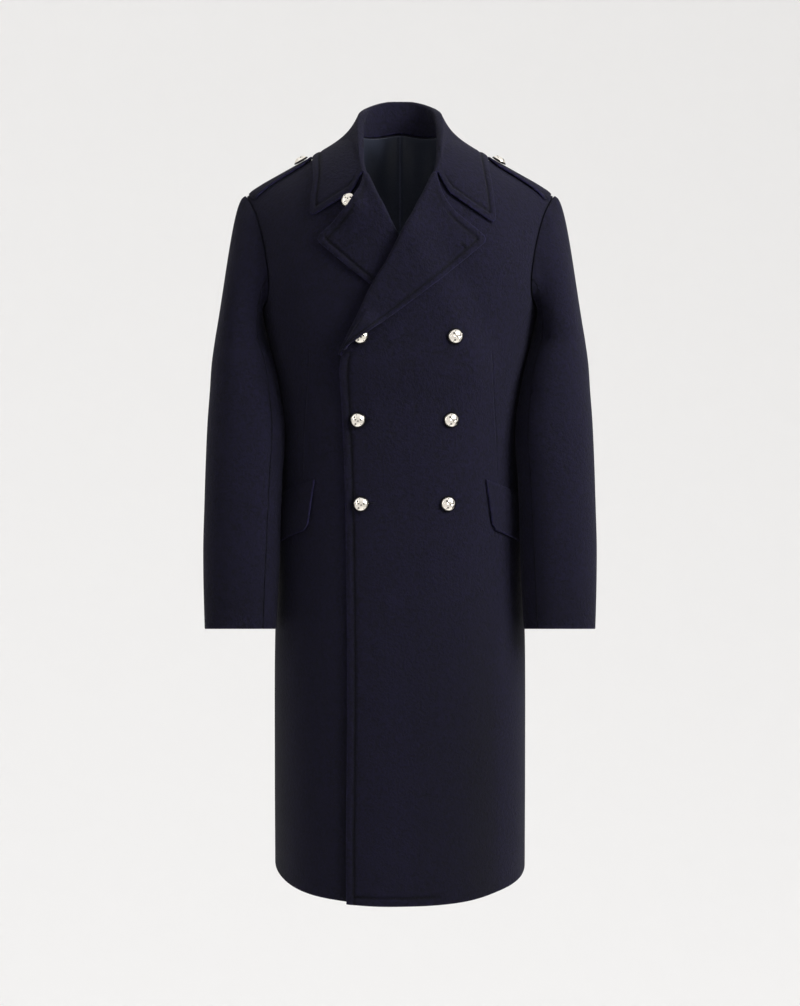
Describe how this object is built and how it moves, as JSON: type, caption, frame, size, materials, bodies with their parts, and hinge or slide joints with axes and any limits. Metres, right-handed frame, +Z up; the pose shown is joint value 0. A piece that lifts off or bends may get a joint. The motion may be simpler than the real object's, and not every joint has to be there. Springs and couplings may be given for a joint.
{
  "type": "double-breasted wool overcoat",
  "caption": "Long double-breasted wool overcoat with notched lapels, shoulder straps, slanted pocket flaps and domed metal buttons, filled out as worn with no wearer.",
  "frame": {"origin": "middle of the neck, level with the point where the shoulder seams meet the collar, where the wearer's shoulders and neck hold the coat", "axes": "+Z up, the front faces -Y, and +X is towards the wearer's left side"},
  "size_m": [0.5932, 0.3557, 1.2011],
  "materials": {
    "navy_wool": "matt felted melton wool, dark navy, with a short nap",
    "lining_satin": "smooth black-navy satin with a soft sheen",
    "button_metal": "polished silver-coloured metal, slightly warm"
  },
  "bodies": {
    "root": {"left_front": "navy_wool", "right_front": "navy_wool", "left_back": "navy_wool", "right_back": "navy_wool", "left_back_lining": "lining_satin", "right_back_lining": "lining_satin", "left_lapel": "navy_wool", "right_lapel": "navy_wool", "collar": "navy_wool", "left_top_sleeve": "navy_wool", "right_top_sleeve": "navy_wool", "left_under_sleeve": "navy_wool", "right_under_sleeve": "navy_wool", "left_pocket_flap": "navy_wool", "right_pocket_flap": "navy_wool", "left_epaulette": "navy_wool", "right_epaulette": "navy_wool", "button_1_right": "button_metal", "button_1_left": "button_metal", "button_2_right": "button_metal", "button_2_left": "button_metal", "button_3_right": "button_metal", "button_3_left": "button_metal", "button_neck": "button_metal", "button_epaulette_left": "button_metal", "button_epaulette_right": "button_metal"}
  },
  "joints": []
}
